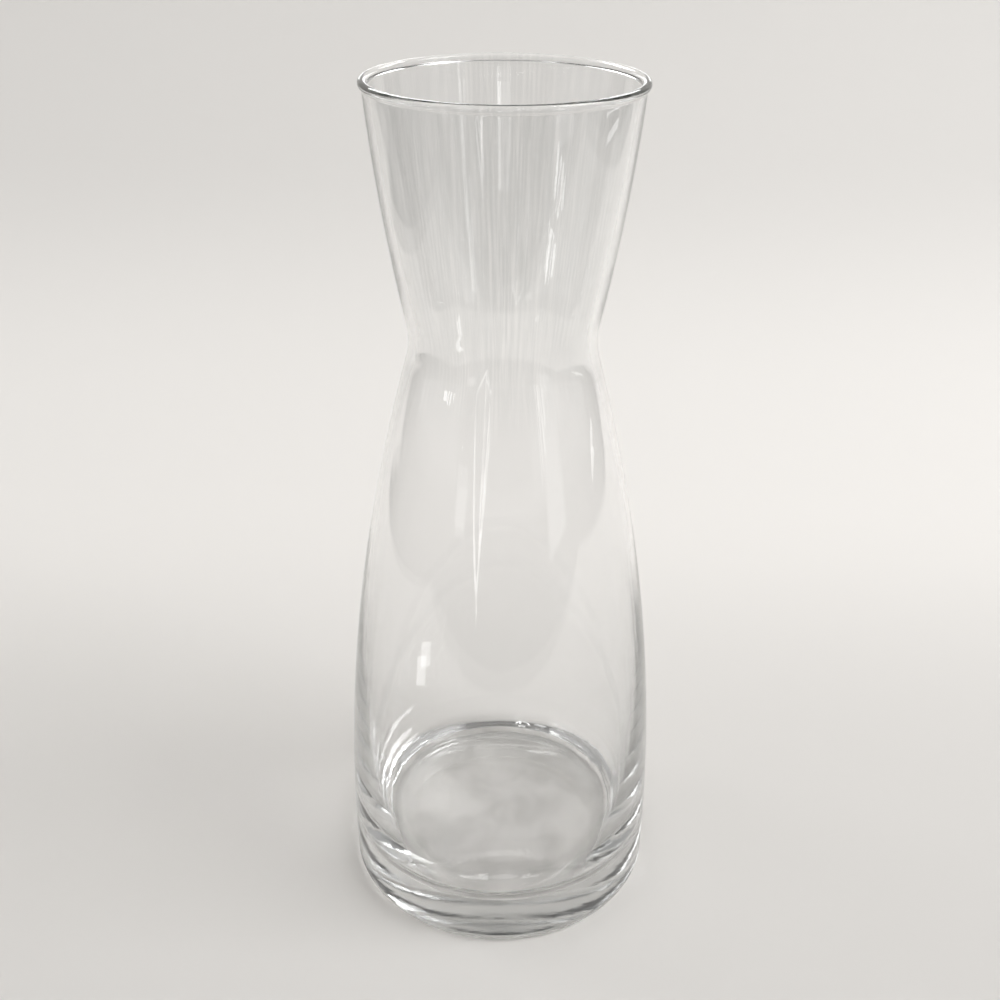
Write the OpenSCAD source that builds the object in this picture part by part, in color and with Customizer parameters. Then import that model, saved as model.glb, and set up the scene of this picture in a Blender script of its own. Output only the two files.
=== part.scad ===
// Half-litre water carafe in clear glass, blown in one piece.
// A straight foot rises into a long tapering belly, draws in to a waist and opens
// again in a gently bowed flare that ends in a fire-polished bead.
// Every arc of the wall runs into the next one without a corner, inside and out.

/* [Overall] */
// Overall height, from the table to the top of the lip
height = 208; // [190:1:225]

/* [Body] */
// Outer diameter of the straight foot and lower body
body_d = 80; // [74:0.5:92]
// Height above the table where the straight foot ends and the belly starts to taper
taper_h = 16; // [11:0.5:26]
// Thickness of the wall just above its thickened foot
body_wall = 3.1; // [2:0.1:4]

/* [Waist] */
// Outer diameter at the narrowest place
waist_d = 43.2; // [38:0.2:50]
// Height above the table of the narrowest place
waist_h = 151.4; // [142:0.2:160]
// Radius of the hollow curve round the outside of the waist
waist_round = 20; // [12:0.5:30]
// Thickness of the wall at the waist
waist_wall = 2.2; // [1.4:0.1:3]

/* [Lip] */
// Outer diameter of the lip, measured across its bead
lip_d = 60.6; // [57:0.2:66]
// Diameter of the rounded bead round the lip
bead_d = 1.9; // [1.6:0.1:2.6]
// How far the bead stands out from the outside of the wall below it
bead_overhang = 0.6; // [0.3:0.05:0.8]
// Radius of the hollow between the bead and the wall below it
bead_blend = 0.6; // [0.3:0.1:1.5]
// Radius of the slight outward bow of the flare between the waist and the lip
flare_round = 460; // [300:10:900]

/* [Base] */
// Height of the inner floor above the table
floor_h = 9.6; // [6:0.2:13]
// Radius of the corner between the inner floor and the wall
floor_round = 7; // [2:0.5:9]
// Height above the table below which the wall thickens inward
thicken_h = 40; // [30:1:55]
// Radius of the inside of the thickened foot, up and down the wall
foot_round = 180; // [120:10:400]
// Radius of the outer edge between the underside and the wall
heel_round = 2.5; // [1:0.25:4]
// Width of the flat ring that the carafe stands on
ring_w = 2.5; // [1.5:0.25:5]
// Radius of the inner edge of the standing ring
ring_round = 1.5; // [0.5:0.25:2.5]
// How far the middle of the underside is pushed up above the table
push_up = 1.6; // [0.8:0.1:2.5]

/* [Hidden] */

// Steps along the long arcs of the belly and the flare
long_steps = 24;
// Steps along the short arcs of the waist, the corners and the bead
short_steps = 12;

body_r = body_d / 2;
waist_r = waist_d / 2;
bead_r = bead_d / 2;

// The inside of the waist and flare has radii of its own, so that the thickness changes smoothly.
waist_round_in = waist_round + waist_wall;
flare_round_in = flare_round - waist_wall;

// Points are [radius, height]. Both sides of the wall turn about one centre at the waist.
waist_c = [waist_r + waist_round, waist_h];
bead_c = [lip_d / 2 - bead_r, height - bead_r];
// The outside of the wall, carried on to the height of the bead's middle
lip_wall_end = [lip_d / 2 - bead_overhang, bead_c.y];

// Direction from point p to point q, in degrees from -180 to 180.
function bearing(p, q) = atan2(q.y - p.y, q.x - p.x);

// The same direction, in degrees from 0 to 360.
function heading(p, q) = (bearing(p, q) + 360) % 360;

// Points of an arc of radius r about c, from the angle start to the angle end.
function arc(c, r, start, end, steps) =
    [for (i = [0 : steps]) let (a = start + (end - start) * i / steps) c + r * [cos(a), sin(a)]];

// The point r0 away from c0 and r1 away from c1, to the left of the way from c0 to c1.
function meet(c0, r0, c1, r1) =
    let (d = norm(c1 - c0), u = (c1 - c0) / d)
    let (along = (d * d + r0 * r0 - r1 * r1) / (2 * d), aside = sqrt(r0 * r0 - along * along))
    c0 + along * u + aside * [-u.y, u.x];

// Radius of the belly: an arc that leaves a straight wall of radius r at height h upright
// and touches the waist curve, of radius w about waist_c, where it turns the other way.
function belly_radius(r, h, w) =
    let (across = waist_c.x - r, up = waist_c.y - h)
    (across * across + up * up - w * w) / (2 * (w - across));

// Belly and waist curve of one side of the wall, from where it stands upright to the flare.
function belly_and_waist(r, h, w, flare_c) =
    let (b = belly_radius(r, h, w), belly_c = [r - b, h])
    concat(arc(belly_c, b, 0, bearing(belly_c, waist_c), long_steps),
           arc(waist_c, w, heading(waist_c, belly_c), heading(waist_c, flare_c), short_steps));

// The same points in the opposite order.
function backward(points) = [for (i = [len(points) - 1 : -1 : 0]) points[i]];

// Underside, from its pushed-up middle over the standing ring and round the heel.
ring_in_r = body_r - heel_round - ring_w;
ring_c = [ring_in_r, ring_round];
heel_c = [body_r - heel_round, heel_round];
dome_round = (ring_in_r * ring_in_r + push_up * push_up - 2 * ring_round * push_up) / (2 * push_up);
dome_c = [0, push_up - dome_round];
underside = concat(
    arc(dome_c, dome_round, 90, bearing(dome_c, ring_c), short_steps),
    arc(ring_c, ring_round, bearing(ring_c, dome_c), -90, short_steps),
    arc(heel_c, heel_round, -90, 0, short_steps));

// Outside of the flare, and the hollow that leads it into the bead.
flare_c = meet(waist_c, flare_round + waist_round, lip_wall_end, flare_round);
blend_c = meet(bead_c, bead_r + bead_blend, flare_c, flare_round + bead_blend);
flare_and_blend = concat(
    arc(flare_c, flare_round, bearing(flare_c, waist_c), bearing(flare_c, blend_c), long_steps),
    arc(blend_c, bead_blend, heading(blend_c, flare_c), heading(blend_c, bead_c), short_steps));

// Inside of the flare, an arc that touches both the bead and the inner waist curve.
flare_c_in = meet(waist_c, flare_round_in + waist_round_in, bead_c, flare_round_in + bead_r);
flare_in = arc(
    flare_c_in, flare_round_in, bearing(flare_c_in, waist_c), bearing(flare_c_in, bead_c), long_steps);

// Bead, from the hollow below it over the top and down to the inside of the flare.
bead = concat(
    arc(bead_c, bead_r, bearing(bead_c, blend_c), 90, short_steps),
    arc(bead_c, bead_r, 90, heading(bead_c, flare_c_in), short_steps));

// Inner radius where the foot stops thickening: one wall inside the belly's outer arc.
belly_r = belly_radius(body_r, taper_h, waist_round);
belly_drop = thicken_h - taper_h;
body_r_in = body_r - belly_r + sqrt(belly_r * belly_r - belly_drop * belly_drop) - body_wall;

// Inside of the thickened foot, an arc that leaves the wall upright and leans inward below,
// and the corner that leads it into the inner floor.
foot_c = [body_r_in - foot_round, thicken_h];
corner_drop = thicken_h - floor_h - floor_round;
corner_reach = foot_round - floor_round;
floor_c = [foot_c.x + sqrt(corner_reach * corner_reach - corner_drop * corner_drop), floor_h + floor_round];
foot_in = concat(
    [[0, floor_h]],
    arc(floor_c, floor_round, -90, bearing(foot_c, floor_c), short_steps),
    arc(foot_c, foot_round, bearing(foot_c, floor_c), 0, long_steps));

outside = concat(underside, belly_and_waist(body_r, taper_h, waist_round, flare_c), flare_and_blend);
inside = concat(foot_in, belly_and_waist(body_r_in, thicken_h, waist_round_in, flare_c_in), flare_in);

// Volume under a line of points that is turned about the axis, up to its last point.
function filled_volume(points) =
    let (slices = [for (i = [1 : len(points) - 1])
        let (a = points[i - 1], b = points[i])
        (b.y - a.y) * (a.x * a.x + a.x * b.x + b.x * b.x) * PI / 3])
    slices * [for (s = slices) 1];

// Brimful capacity in cubic millimetres, a million of which are a litre
capacity = filled_volume(inside);
echo(brimful_cubic_mm = capacity, belly = belly_r, foot_inner_radius = floor_c.x + floor_round);

// Clear glass with a breath of grey-green, as it shows against white.
module carafe_glass() {
    color([0.84, 0.89, 0.89, 0.45])
        rotate_extrude($fn = 180)
            polygon(concat(outside, bead, backward(inside)));
}

carafe_glass();
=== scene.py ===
"""A blown glass water carafe on a pale paper sweep, built round its fixed CAD frame."""

import math

import bpy
import numpy as np
from bpy.props import FloatProperty, FloatVectorProperty, IntProperty, PointerProperty
from bpy.types import Operator, Panel, PropertyGroup
from mathutils import Matrix, Vector, noise


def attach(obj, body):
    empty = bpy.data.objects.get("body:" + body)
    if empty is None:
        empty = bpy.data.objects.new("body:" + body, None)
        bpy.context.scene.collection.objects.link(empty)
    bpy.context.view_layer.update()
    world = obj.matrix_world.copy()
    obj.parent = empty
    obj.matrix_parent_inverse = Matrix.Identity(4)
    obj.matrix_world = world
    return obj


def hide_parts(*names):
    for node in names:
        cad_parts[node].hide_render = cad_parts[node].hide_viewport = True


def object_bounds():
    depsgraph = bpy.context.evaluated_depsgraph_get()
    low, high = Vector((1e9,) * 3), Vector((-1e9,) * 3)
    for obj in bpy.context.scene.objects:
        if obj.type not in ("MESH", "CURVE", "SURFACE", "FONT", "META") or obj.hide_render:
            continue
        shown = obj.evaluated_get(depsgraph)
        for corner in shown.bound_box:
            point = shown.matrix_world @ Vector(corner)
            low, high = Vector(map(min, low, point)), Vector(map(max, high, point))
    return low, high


bl_info = {
    "name": "Blown Glass Carafe",
    "version": (1, 0, 0),
    "blender": (4, 5, 0),
    "location": "View3D > Sidebar > Carafe",
    "description": "Builds a clear glass water carafe and the paper sweep it stands on",
    "category": "Add Mesh",
}

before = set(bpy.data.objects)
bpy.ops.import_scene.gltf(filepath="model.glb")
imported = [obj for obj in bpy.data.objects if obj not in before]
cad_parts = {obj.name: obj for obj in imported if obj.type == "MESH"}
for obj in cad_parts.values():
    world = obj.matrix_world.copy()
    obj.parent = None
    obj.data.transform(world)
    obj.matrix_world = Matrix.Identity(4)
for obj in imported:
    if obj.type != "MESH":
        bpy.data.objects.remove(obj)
CAD_LOW, CAD_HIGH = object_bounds()

GLASS_NODE = "carafe_glass"
BODY = "root"
MM = 0.001
# Width of the camera's sensor, in millimetres
SENSOR = 36


def length(name, description, default_mm):
    """A length property, with its default given in millimetres."""
    return FloatProperty(
        name=name, description=description, default=default_mm * MM, unit="LENGTH",
        subtype="DISTANCE", precision=5)


class CarafeSizes(PropertyGroup):
    """The driving dimensions of the glass."""

    height: length("Height", "From the table to the top of the lip", (CAD_HIGH.z - CAD_LOW.z) / MM)
    body_diameter: length("Body diameter", "Across the straight foot", (CAD_HIGH.x - CAD_LOW.x) / MM)
    taper_height: length("Taper height", "Where the straight foot ends", 16)
    body_wall: length("Body wall", "Thickness of the wall just above the thickened foot", 3.1)
    thicken_height: length("Thicken height", "Height below which the wall thickens inward", 40)
    foot_round: length("Foot round", "Radius of the inside of the thickened foot", 180)
    waist_diameter: length("Waist diameter", "Across the narrowest place", 43.2)
    waist_height: length("Waist height", "Height of the narrowest place", 151.4)
    waist_round: length("Waist round", "Radius of the hollow curve outside the waist", 20)
    waist_wall: length("Waist wall", "Thickness of the wall at the waist", 2.2)
    lip_diameter: length("Lip diameter", "Across the bead of the lip", 60.6)
    bead_diameter: length("Bead diameter", "Thickness of the rounded bead", 1.9)
    bead_overhang: length("Bead overhang", "How far the bead stands out from the wall", 0.6)
    bead_blend: length("Bead blend", "Radius of the hollow under the bead", 0.6)
    flare_round: length("Flare round", "Radius of the outward bow of the flare", 460)
    floor_height: length("Floor height", "Height of the inner floor", 9.6)
    floor_round: length("Floor round", "Radius of the corner of the inner floor", 7)
    heel_round: length("Heel round", "Radius of the outer edge of the underside", 2.5)
    ring_width: length("Ring width", "Width of the flat standing ring", 2.5)
    ring_round: length("Ring round", "Radius of the inner edge of the standing ring", 1.5)
    push_up: length("Push-up", "Rise of the middle of the underside", 1.6)
    outer_wave: length("Outer wave", "Largest wave left in the outside of the glass", 0.03)
    inner_wave: length("Inner wave", "Largest wave left in the inside of the glass", 0.12)
    neck_wave: FloatProperty(
        name="Neck wave", description="Share of the waves that the drawn neck keeps",
        default=0.12, min=0, max=1)
    turns: IntProperty(name="Turns", description="Faces round the glass", default=288, min=48)


class CarafeFinish(PropertyGroup):
    """The glass itself."""

    tint: FloatVectorProperty(
        name="Tint", description="Colour that thick glass takes on", subtype="COLOR",
        default=(0.41, 0.43, 0.42), min=0, max=1)
    tint_density: FloatProperty(
        name="Tint density", description="How fast the tint builds up, per metre", default=7.0, min=0)
    index: FloatProperty(name="Index", description="Index of refraction", default=1.52, min=1)
    # Grey painted into the underside in blotches, as shade under the base; it darkens what is seen through
    # the base
    underside_shade: FloatVectorProperty(
        name="Dull base", description="How much light the mottled underside lets through", subtype="COLOR",
        default=(0.67, 0.67, 0.66), min=0, max=1)
    drawn_neck: FloatVectorProperty(
        name="Drawn neck", description="How much light the threads in the drawn neck let through",
        subtype="COLOR", default=(0.93, 0.935, 0.935), min=0, max=1)
    haze: FloatProperty(
        name="Haze", description="Roughness of the strongest handling marks", default=0.03, min=0, max=1)
    marks_scale: FloatProperty(name="Marks scale", description="Handling marks per metre", default=90, min=0)
    # Size of the blotches of the shade painted into the underside
    mottle_scale: FloatProperty(
        name="Mottle scale", description="Blotches of the underside per metre", default=75, min=0)
    lines_scale: FloatProperty(
        name="Lines scale", description="Soft drawn lines per radian round the wall", default=11, min=0)
    threads_scale: FloatProperty(
        name="Threads scale", description="Fine drawn threads per radian round the wall", default=55, min=0)
    threads_share: FloatProperty(
        name="Threads share", description="Depth of the threads against the soft lines", default=0.08, min=0)
    line_strength: FloatProperty(
        name="Line strength", description="How strongly the drawn lines bend light",
        default=0.5, min=0, max=1)
    line_depth: length("Line depth", "Depth of the soft drawn lines", 0.03)


class StageLook(PropertyGroup):
    """Paper, light and camera."""

    paper: FloatVectorProperty(
        name="Paper", description="Colour of the paper sweep", subtype="COLOR",
        default=(0.78, 0.765, 0.745), min=0, max=1)
    # Light painted into the paper's colour where it bends up
    painted_bend_light: FloatProperty(
        name="Bend glow", description="How much paler the paper is where it bends up", default=1.15, min=0)
    # Shade painted into the paper's colour in front of the glass
    front_shade: FloatProperty(
        name="Front shade", description="How much darker the paper is in front of the glass",
        default=0.91, min=0)
    paper_left: length("Paper left", "Left edge of the paper in the glass's reflections", -330)
    paper_right: length("Paper right", "Right edge of the paper in the glass's reflections", 480)
    paper_front: length("Paper front", "Front edge of the paper in the glass's reflections", -210)
    paper_back: length("Paper back", "Where the paper widens behind the glass, in its reflections", 260)
    paper_top: length("Paper top", "Top edge of the paper in the glass's reflections", 650)
    room: FloatVectorProperty(
        name="Room", description="Colour of the dark room that the glass mirrors", subtype="COLOR",
        default=(0.33, 0.33, 0.33), min=0, max=1)
    table: FloatVectorProperty(
        name="Table", description="Colour of the dark table past the paper in reflections", subtype="COLOR",
        default=(0.06, 0.06, 0.06), min=0, max=1)
    lens: length("Lens", "Focal length on a 36 mm sensor", 44.53)
    camera_back: length("Camera back", "From the axis of the glass to the camera", 264.7)
    camera_height: length("Camera height", "From the table to the camera", 254.1)
    camera_aside: length("Camera aside", "How far left of the axis the camera stands", 0.43)
    pitch: FloatProperty(
        name="Pitch", description="Angle below the horizon", default=math.radians(28.8), subtype="ANGLE")
    roll: FloatProperty(
        name="Roll", description="Turn about the view axis", default=math.radians(0.35), subtype="ANGLE")
    surround: FloatVectorProperty(
        name="Surround", description="Colour of the even light all round", subtype="COLOR",
        default=(1, 0.99, 0.975), min=0, max=1)
    surround_strength: FloatProperty(
        name="Surround strength", description="Strength of the even light all round", default=0.6, min=0)
    light_bounces: IntProperty(
        name="Light bounces", description="How often light led along inside the wall may turn",
        default=160, min=12)


# Outline of the glass, as points of [radius, height]

# How far apart the points of the outline are on its long arcs, and on the small ones of lip, ring and heel
LONG_STEP = 0.8 * MM
FINE_STEP = 0.2 * MM
FEWEST_STEPS = 8
# Points nearer than this are one point
SAME_POINT = 1e-7


def bearing(p, q):
    """Direction from p to q, from -pi to pi."""
    return math.atan2(q[1] - p[1], q[0] - p[0])


def heading(p, q):
    """Direction from p to q, from 0 to two pi."""
    return bearing(p, q) % math.tau


def arc(centre, radius, start, end, step=LONG_STEP):
    """Points of an arc, about step apart, with both of its ends."""
    count = max(FEWEST_STEPS, math.ceil(radius * abs(end - start) / step))
    turn = np.linspace(start, end, count + 1)
    return np.stack([centre[0] + radius * np.cos(turn), centre[1] + radius * np.sin(turn)], axis=1)


def meet(c0, r0, c1, r1):
    """The point r0 from c0 and r1 from c1, left of the way from c0 to c1."""
    way = c1 - c0
    apart = np.hypot(*way)
    along = (apart ** 2 + r0 ** 2 - r1 ** 2) / (2 * apart)
    aside = math.sqrt(r0 ** 2 - along ** 2)
    way = way / apart
    return c0 + along * way + aside * np.array([-way[1], way[0]])


def belly_round(radius, height, waist_round, waist):
    """Radius of the belly: an arc that leaves the wall upright and touches the waist curve."""
    across, up = waist - np.array([radius, height])
    return (across ** 2 + up ** 2 - waist_round ** 2) / (2 * (waist_round - across))


def belly_and_waist(radius, height, waist_round, waist, flare):
    """One side of the wall from where it stands upright to the end of the waist curve."""
    belly = belly_round(radius, height, waist_round, waist)
    centre = np.array([radius - belly, height])
    return np.concatenate([
        arc(centre, belly, 0, bearing(centre, waist)),
        arc(waist, waist_round, heading(waist, centre), heading(waist, flare)),
    ])


def glass_outline(s):
    """(outside, inside) of the glass, both from the axis at the bottom up to the top of the bead."""
    body_r, bead_r = s.body_diameter / 2, s.bead_diameter / 2
    waist = np.array([s.waist_diameter / 2 + s.waist_round, s.waist_height])
    bead = np.array([s.lip_diameter / 2 - bead_r, s.height - bead_r])

    ring_in = body_r - s.heel_round - s.ring_width
    dome_r = (ring_in ** 2 + s.push_up ** 2 - 2 * s.ring_round * s.push_up) / (2 * s.push_up)
    dome = np.array([0, s.push_up - dome_r])
    ring = np.array([ring_in, s.ring_round])
    heel = np.array([body_r - s.heel_round, s.heel_round])
    wall_end = np.array([s.lip_diameter / 2 - s.bead_overhang, bead[1]])
    flare = meet(waist, s.flare_round + s.waist_round, wall_end, s.flare_round)
    blend = meet(bead, bead_r + s.bead_blend, flare, s.flare_round + s.bead_blend)
    outside = np.concatenate([
        arc(dome, dome_r, math.pi / 2, bearing(dome, ring)),
        arc(ring, s.ring_round, bearing(ring, dome), -math.pi / 2, FINE_STEP),
        arc(heel, s.heel_round, -math.pi / 2, 0, FINE_STEP),
        belly_and_waist(body_r, s.taper_height, s.waist_round, waist, flare),
        arc(flare, s.flare_round, bearing(flare, waist), bearing(flare, blend)),
        arc(blend, s.bead_blend, heading(blend, flare), heading(blend, bead), FINE_STEP),
        arc(bead, bead_r, bearing(bead, blend), math.pi / 2, FINE_STEP),
    ])

    belly_r = belly_round(body_r, s.taper_height, s.waist_round, waist)
    belly_drop = s.thicken_height - s.taper_height
    inner_r = body_r - belly_r + math.sqrt(belly_r ** 2 - belly_drop ** 2) - s.body_wall
    inner_waist, inner_flare = s.waist_round + s.waist_wall, s.flare_round - s.waist_wall
    flare_in = meet(waist, inner_flare + inner_waist, bead, inner_flare + bead_r)
    foot = np.array([inner_r - s.foot_round, s.thicken_height])
    corner_z = s.floor_height + s.floor_round
    corner_drop = s.thicken_height - corner_z
    corner_x = foot[0] + math.sqrt((s.foot_round - s.floor_round) ** 2 - corner_drop ** 2)
    corner = np.array([corner_x, corner_z])
    floor = np.array([[x, s.floor_height] for x in np.arange(0, corner_x, LONG_STEP)])
    inside = np.concatenate([
        floor,
        arc(corner, s.floor_round, -math.pi / 2, bearing(foot, corner), FINE_STEP),
        arc(foot, s.foot_round, bearing(foot, corner), 0),
        belly_and_waist(inner_r, s.thicken_height, inner_waist, waist, flare_in),
        arc(flare_in, inner_flare, bearing(flare_in, waist), bearing(flare_in, bead)),
        arc(bead, bead_r, heading(bead, flare_in), math.pi / 2, FINE_STEP),
    ])
    return unrepeated(outside), unrepeated(inside)


def unrepeated(points):
    """The points without those that lie on the one before."""
    gaps = np.hypot(*np.diff(points, axis=0).T)
    return points[np.concatenate([[True], gaps > SAME_POINT])]


def evened(points):
    """The points with long straight gaps between them filled in."""
    filled = [points[:1]]
    for a, b in zip(points[:-1], points[1:]):
        count = max(1, math.ceil(np.hypot(*(b - a)) / LONG_STEP))
        filled.append(a + (b - a) * np.linspace(0, 1, count + 1)[1:, None])
    return np.concatenate(filled)


def outward(points):
    """Unit normals of a line of points, to the right of the way along it."""
    way = np.gradient(points, axis=0)
    way /= np.hypot(*way.T)[:, None]
    return np.stack([way[:, 1], -way[:, 0]], axis=1)


# Waves in the surface: the size of the slow swells and of the drawn threads, how much of the height each
# follows, the threads' share of the whole, and the seeds of the two sides of the wall
SWELL = 26 * MM
SWELL_RISE = 0.8
THREAD = 7 * MM
THREAD_RISE = 0.25
THREAD_SHARE = 0.2
OUTER_SEED = 3.7
INNER_SEED = 11.3
# Over this height above the table, in heel radii, the waves start, and over this one below the bead they end
HEEL_FADE = 2
LIP_FADE = 8 * MM
# Where the neck's smoother wall starts, and over how much it grows, in waist heights
NECK_START = 0.6
NECK_FADE = 0.3


def waves(points, turns, largest, seed):
    """How far each vertex is moved along its normal: soft swells, and threads drawn up the wall."""
    angle = np.arange(turns) * math.tau / turns
    moved = np.zeros((len(points), turns))
    for i, (r, z) in enumerate(points):
        for j, a in enumerate(angle):
            x, y = r * math.cos(a), r * math.sin(a)
            swell = noise.noise(Vector((x, y, z * SWELL_RISE)) / SWELL + Vector((seed, 0, 0)))
            thread = noise.noise(Vector((x, y, z * THREAD_RISE)) / THREAD + Vector((0, seed, 0)))
            moved[i, j] = (1 - THREAD_SHARE) * swell + THREAD_SHARE * thread
    return moved * largest


def wave_share(points, sizes):
    """How much of the waves each ring keeps: none at the standing ring and the bead, little in the neck."""
    z = points[:, 1]
    low = np.clip(z / (HEEL_FADE * sizes.heel_round), 0, 1)
    high = np.clip((sizes.height - sizes.bead_diameter - z) / LIP_FADE, 0, 1)
    neck = np.clip((z - NECK_START * sizes.waist_height) / (NECK_FADE * sizes.waist_height), 0, 1)
    share = eased(low) * eased(high) * (1 - (1 - sizes.neck_wave) * eased(neck))
    return share[:, None]


def eased(share):
    """A share from 0 to 1 that starts and ends gently."""
    return share * share * (3 - 2 * share)


def turned_mesh(name, points, turns, offsets):
    """A closed mesh that turns the points about the axis, each moved along its normal by offsets."""
    normals = outward(points)
    angle = np.arange(turns) * math.tau / turns
    vertices = []
    rings = []
    for point, normal, offset in zip(points, normals, offsets):
        if point[0] < SAME_POINT:
            rings.append([len(vertices)])
            vertices.append((0, 0, point[1] + normal[1] * offset.mean()))
            continue
        rings.append(list(range(len(vertices), len(vertices) + turns)))
        r = point[0] + normal[0] * offset
        z = point[1] + normal[1] * offset
        vertices.extend(zip(r * np.cos(angle), r * np.sin(angle), z))
    faces = []
    for low, high in zip(rings[:-1], rings[1:]):
        for i in range(turns):
            j = (i + 1) % turns
            if len(low) == 1:
                faces.append((low[0], high[j], high[i]))
            elif len(high) == 1:
                faces.append((low[i], low[j], high[0]))
            else:
                faces.append((low[i], low[j], high[j], high[i]))
    mesh = bpy.data.meshes.new(name)
    mesh.from_pydata(vertices, [], faces)
    mesh.validate()
    mesh.shade_smooth()
    return mesh


# Materials


def new_material(name):
    """An empty node material and its tree."""
    material = bpy.data.materials.new(name)
    material.use_nodes = True
    material.node_tree.nodes.clear()
    return material, material.node_tree


# Where the details of the glass start and end: heights in metres, then values of each detail's noise
UNDERSIDE_HEIGHTS = (0.004, 0.0025)
NECK_HEIGHTS = (0.130, 0.155)
MARKS_RANGE = (0.55, 0.8)
MOTTLE_RANGE = (0.3, 0.62)
THREADS_RANGE = (0.3, 0.6)
# How much of the underside's painted shade is left at its clearest
MOTTLE_CLEAREST = 0.35
# How fast the drawn lines' place moves up the wall, per metre; round the axis it moves 1 per radian
LINE_RISE = 1.1


def clear_glass(finish):
    """Clear blown glass: handling marks, a grey underside in blotches that is painted shade under the base,
    lines drawn up the wall, a tint in depth.
    """
    material, tree = new_material("clear_glass")
    node = tree.nodes.new
    link = tree.links.new
    output = node("ShaderNodeOutputMaterial")
    shader = node("ShaderNodeBsdfPrincipled")
    shader.inputs["Transmission Weight"].default_value = 1
    shader.inputs["IOR"].default_value = finish.index
    link(shader.outputs["BSDF"], output.inputs["Surface"])
    place = node("ShaderNodeTexCoord").outputs["Object"]
    height = axes(tree, place)[2]

    marks = noise_texture(tree, place, finish.marks_scale, detail=4)
    link(ramp(tree, marks, *MARKS_RANGE, 0, finish.haze, curve="LINEAR"), shader.inputs["Roughness"])

    # The underside is greyed in blotches: painted shade under the base, which darkens what is seen through
    # it
    mottle = noise_texture(tree, place, finish.mottle_scale, detail=3, distortion=0.6)
    dull = maths(tree, "MULTIPLY", ramp(tree, height, *UNDERSIDE_HEIGHTS),
                 ramp(tree, mottle, *MOTTLE_RANGE, 1, MOTTLE_CLEAREST))
    wall = along_wall(tree, place)
    lines = noise_texture(tree, wall, finish.lines_scale, detail=3)
    threads = noise_texture(tree, wall, finish.threads_scale, detail=3)
    grey = maths(tree, "MULTIPLY", ramp(tree, height, *NECK_HEIGHTS), ramp(tree, threads, *THREADS_RANGE))
    clear = blended(tree, dull, (1, 1, 1), tuple(finish.underside_shade))
    link(blended(tree, grey, clear, tuple(finish.drawn_neck)), shader.inputs["Base Color"])

    bump = node("ShaderNodeBump")
    bump.inputs["Strength"].default_value = finish.line_strength
    bump.inputs["Distance"].default_value = finish.line_depth
    shallow = maths(tree, "MULTIPLY", threads, finish.threads_share)
    link(maths(tree, "ADD", lines, shallow), bump.inputs["Height"])
    link(bump.outputs["Normal"], shader.inputs["Normal"])

    depth = node("ShaderNodeVolumeAbsorption")
    depth.inputs["Color"].default_value = (*finish.tint, 1)
    depth.inputs["Density"].default_value = finish.tint_density
    link(depth.outputs["Volume"], output.inputs["Volume"])
    return material


def axes(tree, place):
    """The X, Y and Z sockets of a place."""
    split = tree.nodes.new("ShaderNodeSeparateXYZ")
    tree.links.new(place, split.inputs["Vector"])
    return tuple(split.outputs[axis] for axis in "XYZ")


def noise_texture(tree, place, scale, detail, distortion=0.0):
    """The grey of a noise texture over a place."""
    texture = tree.nodes.new("ShaderNodeTexNoise")
    for name, value in (("Scale", scale), ("Detail", detail), ("Distortion", distortion)):
        texture.inputs[name].default_value = value
    tree.links.new(place, texture.inputs["Vector"])
    return texture.outputs["Fac"]


def along_wall(tree, place):
    """A place that moves fast round the axis and slowly up the wall, for lines drawn in the glass."""
    x, y, z = axes(tree, place)
    flat = tree.nodes.new("ShaderNodeCombineXYZ")
    tree.links.new(x, flat.inputs["X"])
    tree.links.new(y, flat.inputs["Y"])
    turn = tree.nodes.new("ShaderNodeVectorMath")
    turn.operation = "NORMALIZE"
    tree.links.new(flat.outputs["Vector"], turn.inputs[0])
    rise = tree.nodes.new("ShaderNodeCombineXYZ")
    tree.links.new(maths(tree, "MULTIPLY", z, LINE_RISE), rise.inputs["Z"])
    both = tree.nodes.new("ShaderNodeVectorMath")
    both.operation = "ADD"
    tree.links.new(turn.outputs["Vector"], both.inputs[0])
    tree.links.new(rise.outputs["Vector"], both.inputs[1])
    return both.outputs["Vector"]


def maths(tree, operation, first, second):
    """The result of one sum on two sockets or numbers."""
    node = tree.nodes.new("ShaderNodeMath")
    node.operation = operation
    for socket, value in zip(node.inputs, (first, second)):
        if isinstance(value, (int, float)):
            socket.default_value = value
        else:
            tree.links.new(value, socket)
    return node.outputs["Value"]


def ramp(tree, value, start, end, low=0.0, high=1.0, curve="SMOOTHSTEP"):
    """A step from low to high as a socket goes from start to end."""
    node = tree.nodes.new("ShaderNodeMapRange")
    node.interpolation_type = curve
    for name, number in (("From Min", start), ("From Max", end), ("To Min", low), ("To Max", high)):
        node.inputs[name].default_value = number
    tree.links.new(value, node.inputs["Value"])
    return node.outputs["Result"]


def blended(tree, factor, first, second):
    """Two colours or colour sockets, mixed by a factor."""
    node = tree.nodes.new("ShaderNodeMix")
    node.data_type = "RGBA"
    tree.links.new(factor, node.inputs["Factor"])
    for name, value in (("A", first), ("B", second)):
        if isinstance(value, tuple):
            node.inputs[name].default_value = (*value, 1)
        else:
            tree.links.new(value, node.inputs[name])
    return node.outputs["Result"]


def in_reflections(tree):
    """1 where a ray has been mirrored by the glass and not yet scattered by paper, and 0 elsewhere."""
    path = tree.nodes.new("ShaderNodeLightPath")
    # Depths are whole numbers, so 0.5 parts none from one or more
    mirrored = maths(tree, "GREATER_THAN", path.outputs["Glossy Depth"], 0.5)
    unscattered = maths(tree, "LESS_THAN", path.outputs["Diffuse Depth"], 0.5)
    return maths(tree, "MULTIPLY", mirrored, unscattered)


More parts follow.
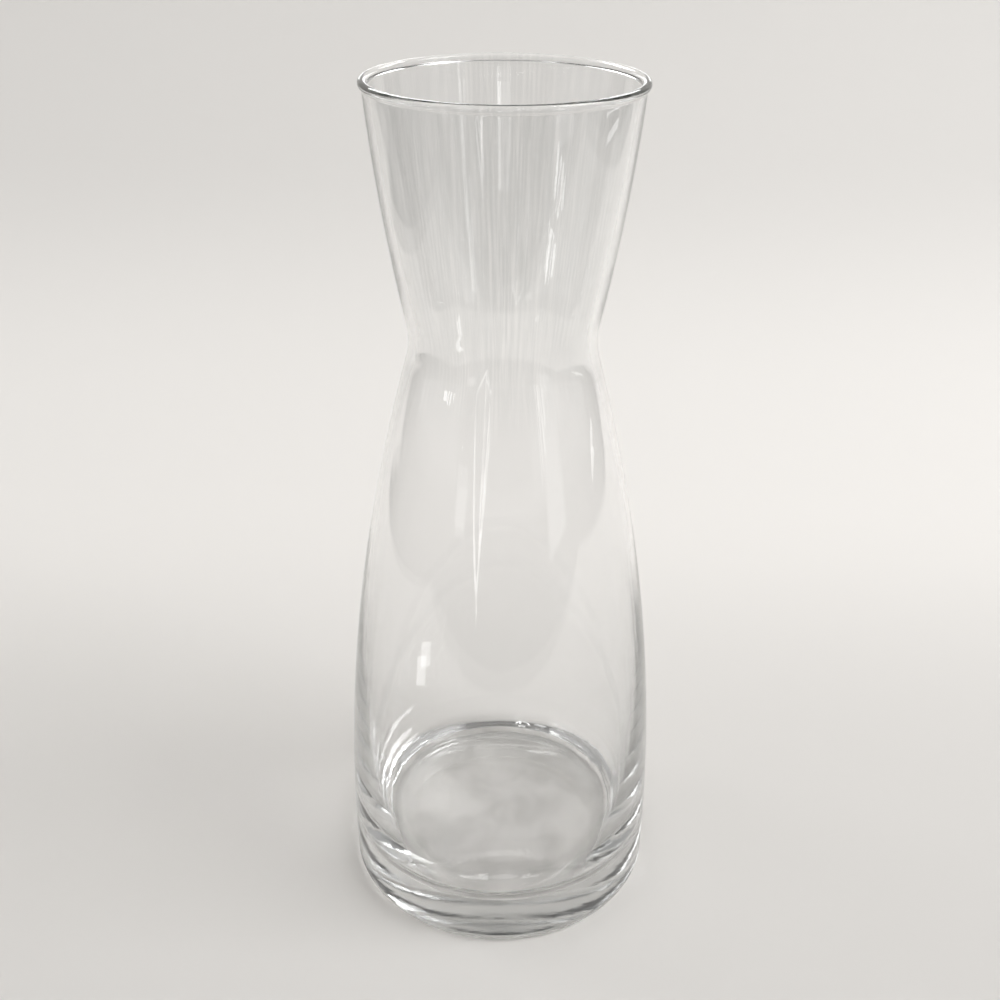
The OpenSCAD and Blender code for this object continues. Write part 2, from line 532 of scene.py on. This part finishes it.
# Where the paper changes, each from its start to its end, in metres: paler at the bend, which is painted
# light, by place and height, darker in front, which is painted shade, and beyond its sides in the glass's
# reflections, by distance from the middle and height
BEND_PLACE = (0.02, 0.20)
BEND_HEIGHT = (0.10, 0.01)
FRONT_PLACE = (0.16, -0.06)
SIDE_PLACE = (0.48, 0.52)
SIDE_HEIGHT = (0.19, 0.14)
# How soft each edge of the mirrored paper is, in metres
LEFT_SOFT = 0.01
RIGHT_SOFT = 0.03
BACK_SOFT = 0.04
FRONT_SOFT = 0.01
TOP_SOFT = 0.02
# How far the paper's tone wanders from its colour
PAPER_UNEVEN = 0.015


def paper(look):
    """Matt white paper, a little uneven in tone, with painted light where it bends up and painted shade in
    front; what the glass mirrors past its edges is a dark table.
    """
    material, tree = new_material("white_paper")
    node = tree.nodes.new
    link = tree.links.new
    output = node("ShaderNodeOutputMaterial")
    shader = node("ShaderNodeBsdfPrincipled")
    shader.inputs["Roughness"].default_value = 0.85
    shader.inputs["Specular IOR Level"].default_value = 0.2
    link(shader.outputs["BSDF"], output.inputs["Surface"])
    place = node("ShaderNodeTexCoord").outputs["Object"]
    x, y, z = axes(tree, place)
    dull, bright, lit, dim = (
        tuple(min(1, c * share) for c in look.paper)
        for share in (1 - PAPER_UNEVEN, 1 + PAPER_UNEVEN, look.painted_bend_light, look.front_shade))
    tone = blended(tree, noise_texture(tree, place, scale=4, detail=3), dull, bright)
    # Painted light: the paper is paler where it bends up
    bend = maths(tree, "MULTIPLY", ramp(tree, y, *BEND_PLACE), ramp(tree, z, *BEND_HEIGHT))
    tone = blended(tree, bend, tone, lit)
    # Painted shade: the paper is darker in front of the glass
    tone = blended(tree, ramp(tree, y, *FRONT_PLACE), tone, dim)

    left = ramp(tree, x, look.paper_left, look.paper_left - LEFT_SOFT)
    right = ramp(tree, x, look.paper_right, look.paper_right + RIGHT_SOFT)
    before_back = ramp(tree, y, look.paper_back, look.paper_back - BACK_SOFT)
    from_middle = ramp(tree, maths(tree, "ABSOLUTE", x, 0), *SIDE_PLACE)
    past = maths(tree, "MULTIPLY", maths(tree, "MAXIMUM", left, right), before_back)
    for edge in (
            maths(tree, "MULTIPLY", from_middle, ramp(tree, z, *SIDE_HEIGHT)),
            ramp(tree, y, look.paper_front, look.paper_front - FRONT_SOFT),
            ramp(tree, z, look.paper_top, look.paper_top + TOP_SOFT)):
        past = maths(tree, "MAXIMUM", past, edge)
    table = blended(tree, maths(tree, "MULTIPLY", past, in_reflections(tree)), tone, tuple(look.table))
    link(table, shader.inputs["Base Color"])
    return material


def mirrored_glow(name, strength):
    """A glow that only the glass's own reflections show."""
    material, tree = new_material(name)
    output = tree.nodes.new("ShaderNodeOutputMaterial")
    clear = tree.nodes.new("ShaderNodeBsdfTransparent")
    glow = tree.nodes.new("ShaderNodeEmission")
    glow.inputs["Strength"].default_value = strength
    mix = tree.nodes.new("ShaderNodeMixShader")
    tree.links.new(in_reflections(tree), mix.inputs["Fac"])
    tree.links.new(clear.outputs["BSDF"], mix.inputs[1])
    tree.links.new(glow.outputs["Emission"], mix.inputs[2])
    tree.links.new(mix.outputs["Shader"], output.inputs["Surface"])
    return material


# Operators


class CARAFE_OT_glass(Operator):
    """Blow the glass: base, belly, waist, flare and bead in one wall"""

    bl_idname = "carafe.glass"
    bl_label = "Glass"

    def execute(self, context):
        sizes = context.scene.carafe_sizes
        outside, inside = (evened(points) for points in glass_outline(sizes))
        # The outside moves only inward, so that it stays inside the CAD's box
        ripple_out = (waves(outside, sizes.turns, sizes.outer_wave, OUTER_SEED) - sizes.outer_wave) / 2
        ripple_out *= wave_share(outside, sizes)
        ripple_in = waves(inside, sizes.turns, sizes.inner_wave, INNER_SEED) * wave_share(inside, sizes)
        # One line, up the outside, over the bead and down the inside
        points = np.concatenate([outside, inside[-2::-1]])
        offsets = np.concatenate([ripple_out, -ripple_in[-2::-1]])
        mesh = turned_mesh("carafe_glass_wall", points, sizes.turns, offsets)
        mesh.materials.append(clear_glass(context.scene.carafe_finish))
        piece = bpy.data.objects.new("carafe_glass_wall", mesh)
        context.scene.collection.objects.link(piece)
        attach(piece, BODY)
        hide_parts(GLASS_NODE)
        return {"FINISHED"}


# Each card's name, azimuth from +X and spread in degrees, reach from the axis, lowest and highest place,
# brightness, and how far it climbs from its first azimuth to its last, with lengths in metres
MIRROR_CARDS = (
    ("left_wall", 202, 50, 3.20, 0.55, 1.60, 0.45, 0),
    ("right_wall", 345, 60, 3.21, 0.33, 1.60, 0.6, 0),
    ("dark_front", 262, 74, 3.22, -0.01, 1.40, 0.06, 0),
    ("far_ceiling", 266, 80, 3.23, 1.60, 3.30, 0.8, 0),
    ("left_lamp", 215, 32, 3.24, 3.40, 7.3, 1.1, 0),
    ("right_lamp", 322, 30, 3.25, 3.40, 7.3, 0.9, 0),
    ("skylight_left", 119, 42, 0.100, 0.248, 0.311, 8.0, 0),
    ("skylight_right", 56, 26, 0.101, 0.248, 0.305, 7.0, 0),
    ("rim_back", 90, 60, 0.120, 0.208, 0.225, 2.5, 0),
    ("door_edge", 274.8, 2.6, 0.250, 0.197, 0.220, 4.0, 0),
    ("door_frame", 265.0, 0.9, 0.251, 0.197, 0.220, 2.5, 0),
    ("door_glow", 269.7, 8.6, 0.252, 0.197, 0.220, 1.0, 0),
    ("window_slit", 312.6, 2.0, 0.253, 0.145, 0.240, 3.0, 0),
    ("left_pane_a", 203.0, 2.4, 0.254, 0.165, 0.172, 8.0, 0.001),
    ("left_pane_b", 206.6, 1.6, 0.254, 0.165, 0.176, 8.0, 0.001),
    ("left_pane_c", 210.0, 2.0, 0.254, 0.167, 0.178, 8.0, 0.001),
    ("left_pane_d", 213.8, 1.2, 0.254, 0.171, 0.182, 8.0, 0.001),
    ("small_lamp", 252, 0.8, 0.255, 0.066, 0.180, 3.0, 0),
    ("lamp_stand", 247, 10, 0.350, 0.169, 0.190, 2.8, -0.176),
    ("window_bar", 307.5, 1.2, 0.351, 0.118, 0.200, 3.0, 0),
    ("right_stand", 6, 10, 0.352, 0.072, 0.080, 3.0, 0.0155),
    ("left_spark", 232, 0.5, 0.353, 0.130, 0.136, 4.5, 0),
    ("lone_spark", 239.5, 0.3, 0.357, 0.164, 0.167, 4.5, 0),
    ("middle_spark", 254, 6, 0.354, 0.020, 0.045, 4.0, 0.140),
    ("pale_left", 234.5, 9, 0.355, 0.073, 0.122, 0.95, 0),
    ("pale_right", 318, 16, 0.356, 0.046, 0.150, 0.8, 0.020),
    ("low_glare", 214, 7, 0.170, 0.008, 0.024, 4.0, 0.004),
)
# Widest strip of a card, in degrees
CARD_STRIP = 5

SWEEP = {"half_width": 1.6, "front": 1.4, "back": 0.16, "bend": 0.35, "top": 1.6}
# Points along the bend of the paper, and along each of its flats
BEND_POINTS = 33
FLAT_POINTS = 12
# The paper lies this far under the carafe, so that the two don't share a plane
PAPER_GAP = 0.05 * MM

# Name, place, width and power of each lamp, and what they face
LAMPS = (
    ("key_window", (0.9, -0.25, 1.2), 0.7, 9),
    ("fill_window", (-0.9, 0.5, 1.1), 0.6, 3),
)
LAMP_TARGET = (0, 0, 0.08)


def stage_object(context, name, mesh, material):
    """A linked stage object that isn't part of the carafe."""
    obj = bpy.data.objects.new(name, mesh)
    context.scene.collection.objects.link(obj)
    mesh.materials.append(material)
    return obj


def sweep_mesh(half_width, front, back, bend, top):
    """A sheet of paper that lies just under the carafe, bends up behind it and stands."""
    turn = np.linspace(0, math.pi / 2, BEND_POINTS)
    bent = [(back + bend * math.sin(a), bend - bend * math.cos(a)) for a in turn]
    line = [(y, 0) for y in np.linspace(-front, back, FLAT_POINTS)[:-1]] + bent
    line += [(back + bend, z) for z in np.linspace(bend, top, FLAT_POINTS)[1:]]
    vertices = [(x, y, z - PAPER_GAP) for y, z in line for x in (-half_width, half_width)]
    faces = [(2 * i, 2 * i + 1, 2 * i + 3, 2 * i + 2) for i in range(len(line) - 1)]
    mesh = bpy.data.meshes.new("paper_sweep")
    mesh.from_pydata(vertices, [], faces)
    mesh.shade_smooth()
    return mesh


def hang_card(context, name, azimuth, spread, reach, low, high, strength, rise):
    """Hang a glowing patch of a drum round the carafe, which only the glass's reflections show."""
    count = int(spread / CARD_STRIP) + 2
    turn = np.radians(np.linspace(azimuth - spread / 2, azimuth + spread / 2, count))
    lift = np.linspace(0, rise, count)
    vertices = [
        (reach * math.cos(a), reach * math.sin(a), z + up) for a, up in zip(turn, lift) for z in (low, high)]
    faces = [(2 * i, 2 * i + 1, 2 * i + 3, 2 * i + 2) for i in range(count - 1)]
    mesh = bpy.data.meshes.new(name)
    mesh.from_pydata(vertices, [], faces)
    card = stage_object(context, name, mesh, mirrored_glow(name, strength))
    card.visible_camera = card.visible_diffuse = card.visible_shadow = False


def hang_lamp(context, name, place, width, power):
    """Hang a square area lamp that faces the carafe's belly."""
    data = bpy.data.lights.new(name, "AREA")
    data.shape = "RECTANGLE"
    data.size = data.size_y = width
    data.energy = power
    lamp = bpy.data.objects.new(name, data)
    context.scene.collection.objects.link(lamp)
    lamp.location = place
    lamp.rotation_euler = (Vector(LAMP_TARGET) - Vector(place)).to_track_quat("-Z", "Y").to_euler()


def world_light(context, look):
    """An even pale surround, in whose place the glass mirrors a dark room."""
    world = bpy.data.worlds.new("surround")
    world.use_nodes = True
    tree = world.node_tree
    background = tree.nodes["Background"]
    background.inputs["Strength"].default_value = 1
    shade = tree.nodes.new("ShaderNodeMix")
    shade.data_type = "RGBA"
    shade.inputs["A"].default_value = (*[c * look.surround_strength for c in look.surround], 1)
    shade.inputs["B"].default_value = (*look.room, 1)
    tree.links.new(in_reflections(tree), shade.inputs["Factor"])
    tree.links.new(shade.outputs["Result"], background.inputs["Color"])
    context.scene.world = world


def photo_camera(context, look):
    """The camera at the photograph's place and angle."""
    data = bpy.data.cameras.new("photo_camera")
    data.sensor_width = SENSOR
    data.lens = look.lens / MM
    camera = bpy.data.objects.new("photo_camera", data)
    context.scene.collection.objects.link(camera)
    camera.location = (-look.camera_aside, -look.camera_back, look.camera_height)
    level = Matrix.Rotation(math.pi / 2 - look.pitch, 4, "X")
    camera.rotation_euler = (level @ Matrix.Rotation(look.roll, 4, "Z")).to_euler()
    context.scene.camera = camera


class CARAFE_OT_stage(Operator):
    """Lay the paper sweep, set the lamps and place the camera"""

    bl_idname = "carafe.stage"
    bl_label = "Stage"

    def execute(self, context):
        look = context.scene.carafe_stage
        stage_object(context, "paper_sweep", sweep_mesh(**SWEEP), paper(look))
        for lamp in LAMPS:
            hang_lamp(context, *lamp)
        for card in MIRROR_CARDS:
            hang_card(context, *card)
        world_light(context, look)
        cycles = context.scene.cycles
        cycles.blur_glossy = 0
        cycles.max_bounces = cycles.glossy_bounces = cycles.transmission_bounces = look.light_bounces
        photo_camera(context, look)
        context.scene.view_settings.view_transform = "Standard"
        return {"FINISHED"}


class CARAFE_PT_sidebar(Panel):
    """Lists the builder's steps and sizes"""

    bl_idname = "CARAFE_PT_sidebar"
    bl_label = "Blown Glass Carafe"
    bl_space_type = "VIEW_3D"
    bl_region_type = "UI"
    bl_category = "Carafe"

    def draw(self, context):
        layout = self.layout
        for operator in STEPS:
            layout.operator(operator.bl_idname)
        for group in (context.scene.carafe_sizes, context.scene.carafe_finish, context.scene.carafe_stage):
            box = layout.box()
            for key in group.__annotations__:
                box.prop(group, key)


GROUPS = {"carafe_sizes": CarafeSizes, "carafe_finish": CarafeFinish, "carafe_stage": StageLook}
STEPS = (CARAFE_OT_glass, CARAFE_OT_stage)


def register():
    """Add the builder's classes and settings."""
    for cls in (*GROUPS.values(), *STEPS, CARAFE_PT_sidebar):
        bpy.utils.register_class(cls)
    for name, group in GROUPS.items():
        setattr(bpy.types.Scene, name, PointerProperty(type=group))


def unregister():
    """Take the builder's classes and settings away."""
    for name in GROUPS:
        delattr(bpy.types.Scene, name)
    for cls in reversed((*GROUPS.values(), *STEPS, CARAFE_PT_sidebar)):
        bpy.utils.unregister_class(cls)


def main():
    register()
    bpy.ops.carafe.glass()
    bpy.ops.carafe.stage()


if __name__ == "__main__":
    main()
